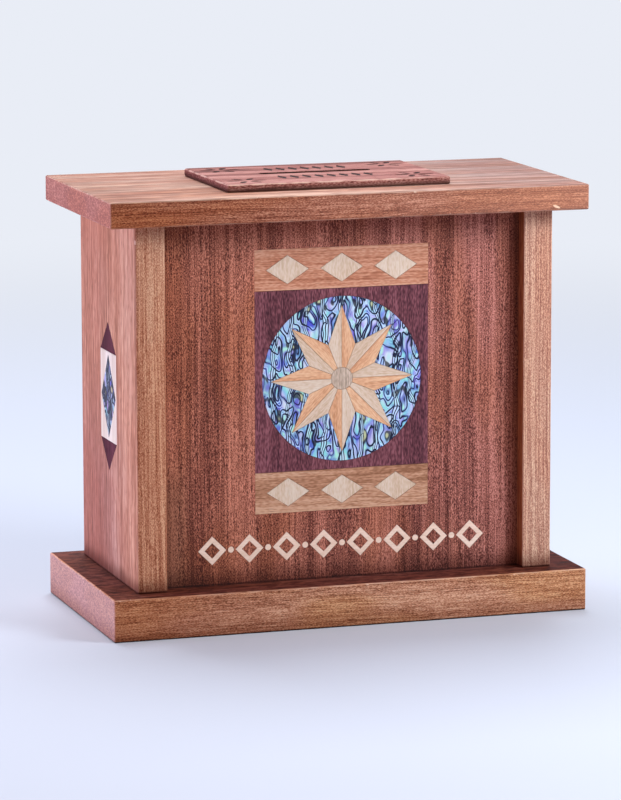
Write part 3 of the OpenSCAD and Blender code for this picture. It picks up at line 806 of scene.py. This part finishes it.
fieldLow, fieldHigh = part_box("picture_field")
starMiddle = (fieldLow + fieldHigh) / 2
woodCuts = {  # wood, axis that its grain follows, place in the log, then the tones it gets by place, mostly painted light and shade, or the middle of a fan
    "front_panel": (sapele, "z", (0.11, 0.0, 0.02), shadePaintedPanel),
    "back_panel": (sapele, "z", (0.53, 0.0, 0.31), shadePaintedPanel),
    "picture_field": (purpleheart, "z", (0.2, 0.1, 0.0)),
    "picture_top_band": (cedar, "x", (0.4, 0.0, 0.3)),
    "picture_bottom_band": (paleWalnut, "x", (0.9, 0.2, 0.1)),
    "band_lozenges": (maple, "z", (0.3, 0.3, 0.3)),
    "motif_rings": (pinkMaple, "x", (0.6, 0.1, 0.2)),
    "motif_dots": (pinkMaple, "x", (0.7, 0.1, 0.2)),
    "star_light_halves": (maple, "x", (0.1, 0.6, 0.2), None, starMiddle),
    "star_dark_halves": (anigre, "x", (0.2, 0.7, 0.5), None, starMiddle),
    "star_boss": (silverWood, "z", (0.8, 0.1, 0.6)),
    "left_inlay_ground": (leftMaple, "z", (0.35, 0.8, 0.1)),
    "right_inlay_ground": (rightMaple, "z", (0.45, 0.2, 0.7)),
    "left_inlay_points": (sideHeart, "z", (0.15, 0.5, 0.9)),
    "right_inlay_points": (sideHeart, "z", (0.25, 0.4, 0.8)),
    "base_board": (baseWood, "x", (0.13, 0.41, 0.07), shadePaintedLedge),
    "lid_board": (lidWood, "x", (0.71, 0.23, 0.37), tonedLid),
    "left_side_board": (sideWood, "z", (0.27, 0.91, 0.17), shadePaintedBoard),
    "right_side_board": (sideWood, "z", (0.83, 0.33, 0.57), shadePaintedBoard),
    "slot_plaque": (plaqueWood, "x", (0.19, 0.77, 0.29), burntCutsShadedSides),
    "lid_cleat_front": (pine, "x", (0.1, 0.2, 0.9)),
    "lid_cleat_back": (pine, "x", (0.5, 0.7, 0.3)),
    "lid_cleat_left": (pine, "y", (0.6, 0.4, 0.8)),
    "lid_cleat_right": (pine, "y", (0.9, 0.6, 0.2)),
}
finishes = {nodeName: woodFinish(nodeName, *cut) for nodeName, cut in woodCuts.items()}
finishes["picture_roundel"] = shellFinish("shellFront", frontShell)
finishes["left_inlay_lozenge"] = shellFinish("shellLeft", sideShell)
finishes["right_inlay_lozenge"] = shellFinish("shellRight", sideShell)
finishes["base_screws"] = finishes["cleat_screws"] = brassFinish()
for nodeName, material in finishes.items():
    mesh = cadNodes[nodeName].data
    mesh.materials.clear()
    mesh.materials.append(material)
print("finishes set on", len(finishes), "nodes")


# boards whose sawn edges have been rounded over

roundOver = {  # reach of the CAD node's eased edge, millimetres
    "base_board": 0.5, "lid_board": 0.5, "left_side_board": 0.4, "right_side_board": 0.4, "slot_plaque": 0.6,
    "lid_cleat_front": 0.6, "lid_cleat_back": 0.6, "lid_cleat_left": 0.6, "lid_cleat_right": 0.6,
}
easing = {
    "share": 0.45, "segments": 3, "weld": 0.002, "slack": 0.05,  # millimetres
    "flat": 1.0, "sharp": 20.0,  # degrees
}
bodyOf = {node: body for body, nodes in frame["record"]["behaviour"]["bodies"].items() for node in nodes}


def faceDepths(point, low, high):  # how far a point lies inside the nearer face of a box, axis by axis
    return sorted(min(point[axis] - low[axis], high[axis] - point[axis]) for axis in range(3))


def outerEdges(shape, nodeName, reach):  # the edges along a board's arrises, not its pockets and grooves
    low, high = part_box(nodeName)
    found = []
    for edge in shape.edges:
        if not edge.is_manifold or edge.calc_face_angle() < math.radians(easing["sharp"]):
            continue
        if all(faceDepths(vert.co, low, high)[1] < reach for vert in edge.verts):
            found.append(edge)
    return found


def roundedCopy(nodeName):
    ease = roundOver[nodeName] * mm
    piece = bpy.data.objects.new(nodeName + ".rounded", bpy.data.meshes.new(nodeName + ".rounded"))
    bpy.context.scene.collection.objects.link(piece)
    shape = bmesh.new()
    shape.from_mesh(cadNodes[nodeName].data)
    bmesh.ops.remove_doubles(shape, verts=shape.verts, dist=easing["weld"] * mm)
    flat = math.radians(easing["flat"])
    bmesh.ops.dissolve_limit(shape, angle_limit=flat, verts=shape.verts, edges=shape.edges)
    weight = shape.edges.layers.float.new("bevel_weight_edge")
    arrises = outerEdges(shape, nodeName, ease + easing["slack"] * mm)
    for edge in shape.edges:
        edge.smooth = False
    for edge in arrises:
        edge[weight] = 1.0
        edge.smooth = True
    for face in shape.faces:
        face.smooth = True
    shape.to_mesh(piece.data)
    shape.free()
    piece.data.materials.append(finishes[nodeName])
    rounding = piece.modifiers.new("roundOver", "BEVEL")
    rounding.limit_method = "WEIGHT"
    rounding.width = easing["share"] * ease
    rounding.segments = easing["segments"]
    rounding.harden_normals = True
    return piece


def makePlain(piece):  # turns the modifiers into a plain mesh
    seen = piece.evaluated_get(bpy.context.evaluated_depsgraph_get())
    mesh = bpy.data.meshes.new_from_object(seen)
    piece.modifiers.clear()
    piece.data = mesh
    mesh.name = piece.name


def standIn(piece, nodeName):
    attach(piece, bodyOf[nodeName])
    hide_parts(nodeName)


for nodeName in roundOver:
    if nodeName != "slot_plaque":
        board = roundedCopy(nodeName)
        makePlain(board)
        standIn(board, nodeName)
        print(nodeName, "rounded:", len(board.data.polygons), "faces")


# plaque with chip carving: two rows of lozenges and a rosette near each corner

carving = {  # millimetres, on the plaque's own plan
    "Chip Depth": 1.0,
    "Back Count": 7, "Front Count": 8, "Row Pitch": 5.3, "Row Offset": 14.0,
    "Lozenge Half Width": 2.2, "Lozenge Half Length": 6.5,
    "Rosette Span": 72.0, "Rosette Depth": 39.0, "Petals": 6, "Petal Ring": 5.4,
    "Petal Half Length": 3.6, "Petal Half Width": 1.5,
}


def buildCarving(material):
    sizes = {"Geometry": ("Geometry", None), "Top": ("Float", 0.0), "Middle": ("Float", 0.0)}
    for name, value in carving.items():
        sizes[name] = ("Int", value) if isinstance(value, int) else ("Float", value * mm)
    tree, given, out = newGroup("chipCarving", sizes, {"Geometry": "Geometry"}, "Geometry")
    floorOfCut = minus(tree, given["Top"], given["Chip Depth"])
    pastFace = 1.1  # the cutters reach a little past the plaque's face
    height = times(tree, given["Chip Depth"], pastFace)
    lozengeSides = 4
    petalSides = 12

    def chip(sides):  # a point-down cone: at the plaque's face it is one unit across its half width
        sockets = {"Vertices": sides, "Radius Bottom": 0.0, "Radius Top": pastFace, "Depth": height}
        return addNode(tree, "GeometryNodeMeshCone", sockets).outputs["Mesh"]

    def scatter(points, instance, **turnAndScale):
        sockets = {"Points": points, "Instance": instance, **turnAndScale}
        return addNode(tree, "GeometryNodeInstanceOnPoints", sockets).outputs["Instances"]

    def row(count, side):
        run = times(tree, minus(tree, given[count], 1.0), given["Row Pitch"])
        fromSlot = times(tree, given["Row Offset"], side)
        start = joinVector(tree, times(tree, run, -0.5), fromSlot, floorOfCut)
        step = joinVector(tree, given["Row Pitch"], 0.0, 0.0)
        sockets = {"Count": given[count], "Start Location": start, "Offset": step}
        points = addNode(tree, "GeometryNodeMeshLine", sockets)
        scale = joinVector(tree, given["Lozenge Half Width"], given["Lozenge Half Length"], 1.0)
        return scatter(points.outputs["Mesh"], chip(lozengeSides), Scale=scale)

    def rosettes():
        ring = addNode(tree, "GeometryNodeMeshCircle", {"Vertices": given["Petals"]})
        feed(tree, ring.inputs["Radius"], given["Petal Ring"])
        away = {"Vector": addNode(tree, "GeometryNodeInputPosition").outputs[0]}
        turn = addNode(tree, "FunctionNodeAlignRotationToVector", away, axis="X", pivot_axis="Z").outputs[0]
        scale = joinVector(tree, given["Petal Half Length"], given["Petal Half Width"], 1.0)
        flower = scatter(ring.outputs["Mesh"], chip(petalSides), Scale=scale, Rotation=turn)
        spots = addNode(tree, "GeometryNodeMeshGrid", {"Vertices X": 2, "Vertices Y": 2})
        plug(tree, spots, {"Size X": given["Rosette Span"], "Size Y": given["Rosette Depth"]})
        middle = joinVector(tree, 0.0, given["Middle"], floorOfCut)
        move = {"Geometry": spots.outputs["Mesh"], "Translation": middle}
        placed = addNode(tree, "GeometryNodeTransform", move)
        return scatter(placed.outputs[0], flower)

    cutters = addNode(tree, "GeometryNodeJoinGeometry")
    for part in (row("Back Count", 1.0), row("Front Count", -1.0), rosettes()):
        tree.links.new(part, cutters.inputs[0])
    chips = addNode(tree, "GeometryNodeRealizeInstances", {0: cutters.outputs[0]})
    cut = addNode(tree, "GeometryNodeMeshBoolean", operation="DIFFERENCE", solver="EXACT")
    tree.links.new(given["Geometry"], cut.inputs["Mesh 1"])
    tree.links.new(chips.outputs[0], cut.inputs["Mesh 2"])
    cut.inputs["Self Intersection"].default_value = True
    whole = addNode(tree, "GeometryNodeRealizeInstances", {0: cut.outputs["Mesh"]})
    finished = addNode(tree, "GeometryNodeSetMaterial", {"Geometry": whole.outputs[0], "Material": material})
    feed(tree, out["Geometry"], finished.outputs[0])
    return tree


def carvePlaque():
    plaque = roundedCopy("slot_plaque")
    tree = buildCarving(finishes["slot_plaque"])
    cutting = plaque.modifiers.new("chipCarving", "NODES")
    cutting.node_group = tree
    low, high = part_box("slot_plaque")
    places = {"Top": high.z, "Middle": (low.y + high.y) / 2}
    for socket in tree.interface.items_tree:
        if socket.name in places:
            cutting[socket.identifier] = places[socket.name]
    makePlain(plaque)
    standIn(plaque, "slot_plaque")
    print("plaque carved:", len(plaque.data.polygons), "faces")


carvePlaque()


# floor, light and camera

stageLook = {
    "floorSize": 8.0,
    "floorColour": "#b2aab1", "floorRoughness": 0.8,
    "paleSky": "#e9edf6",
    "skyLight": 0.16,
    "shadowLift": 0.16,  # share of plain pale floor that the camera sees close to the box
    "fadeFrom": 0.3, "fadeTo": 1.2,  # metres from the box over which the floor turns into the pale sky
}


def seenDirectly(tree):  # 1 for what the camera sees, straight or in a reflection, 0 for light on the object
    rays = addNode(tree, "ShaderNodeLightPath").outputs
    seen = calc(tree, "MAXIMUM", rays["Is Camera Ray"], rays["Is Glossy Ray"])
    return calc(tree, "MAXIMUM", seen, rays["Is Transmission Ray"])


def buildFloor():
    half = stageLook["floorSize"] / 2
    mesh = bpy.data.meshes.new("studioFloor")
    corners = [(-half, -half, 0), (half, -half, 0), (half, half, 0), (-half, half, 0)]
    mesh.from_pydata(corners, [], [(0, 1, 2, 3)])
    floor = bpy.data.objects.new("studioFloor", mesh)
    bpy.context.scene.collection.objects.link(floor)
    material, tree, surface, spot = newMaterial("paleFloor")
    surface.inputs["Base Color"].default_value = paint(stageLook["floorColour"])
    surface.inputs["Roughness"].default_value = stageLook["floorRoughness"]
    away = vectorLength(tree, spot["Object"])
    fade = remap(tree, away, stageLook["fadeFrom"], stageLook["fadeTo"], stageLook["shadowLift"], 1.0)
    glow = addNode(tree, "ShaderNodeEmission", {"Color": stageLook["paleSky"]})
    share = times(tree, fade, seenDirectly(tree))
    mixed = addNode(tree, "ShaderNodeMixShader", {0: share, 1: surface.outputs[0], 2: glow.outputs[0]})
    feed(tree, tree.nodes["Material Output"].inputs["Surface"], mixed.outputs[0])
    mesh.materials.append(material)


def buildSky():
    world = bpy.data.worlds.new("studioSky")
    bpy.context.scene.world = world
    world.use_nodes = True
    tree = world.node_tree
    tree.nodes.clear()
    dim = stageLook["skyLight"]
    strength = calc(tree, "MULTIPLY_ADD", seenDirectly(tree), 1.0 - dim, dim)
    background = addNode(tree, "ShaderNodeBackground", {"Color": stageLook["paleSky"], "Strength": strength})
    addNode(tree, "ShaderNodeOutputWorld", {"Surface": background.outputs[0]})


lamps = {
    "leftSoftbox": {"place": (-1.1, 0.12, 0.13), "size": 0.5, "watts": 15.0, "colour": (0.66, 0.63, 1.0)},
    "topSoftbox": {"place": (0.0, 0.55, 1.25), "size": 0.9, "watts": 33.0, "colour": (0.7, 0.87, 1.0)},
    "frontFill": {"place": (-0.1, -0.55, 0.75), "size": 0.35, "watts": 1.15, "colour": (1.0, 0.74, 0.5)},
    "rightFill": {"place": (0.5, -0.45, 0.45), "size": 0.3, "watts": 7.8, "colour": (0.68, 0.87, 1.0)},
}


def buildLamps(target):
    for name, lamp in lamps.items():
        light = bpy.data.lights.new(name, "AREA")
        light.size = lamp["size"]
        light.energy = lamp["watts"]
        light.color = lamp["colour"]
        made = bpy.data.objects.new(name, light)
        bpy.context.scene.collection.objects.link(made)
        made.location = lamp["place"]
        made.rotation_euler = (target - Vector(lamp["place"])).to_track_quat("-Z", "Y").to_euler()


shot = {
    "place": (-0.54982, -1.70129, 0.38641),  # metres
    "yaw": 17.849, "pitch": 9.55, "roll": -0.123,  # degrees: turned right, tipped down, rolled
    "focalPixels": 4352.3, "framePixels": 800, "sensor": 36.0,
}


def buildCamera():
    yaw, pitch, roll = (math.radians(shot[key]) for key in ("yaw", "pitch", "roll"))
    ahead = Vector((math.sin(yaw) * math.cos(pitch), math.cos(yaw) * math.cos(pitch), -math.sin(pitch)))
    right = Vector((math.cos(yaw), -math.sin(yaw), 0))
    upward = right.cross(ahead)
    across = right * math.cos(roll) + upward * math.sin(roll)
    rise = upward * math.cos(roll) - right * math.sin(roll)
    data = bpy.data.cameras.new("photoCamera")
    data.sensor_width = shot["sensor"]
    data.lens = shot["focalPixels"] * shot["sensor"] / shot["framePixels"]
    camera = bpy.data.objects.new("photoCamera", data)
    bpy.context.scene.collection.objects.link(camera)
    turn = Matrix((across, rise, -ahead)).transposed().to_4x4()
    camera.matrix_world = Matrix.Translation(shot["place"]) @ turn
    bpy.context.scene.camera = camera


buildFloor()
buildSky()
buildLamps((cadBox[0] + cadBox[1]) / 2)
buildCamera()
bpy.context.scene.view_settings.view_transform = "Standard"
print("floor, light and camera set")
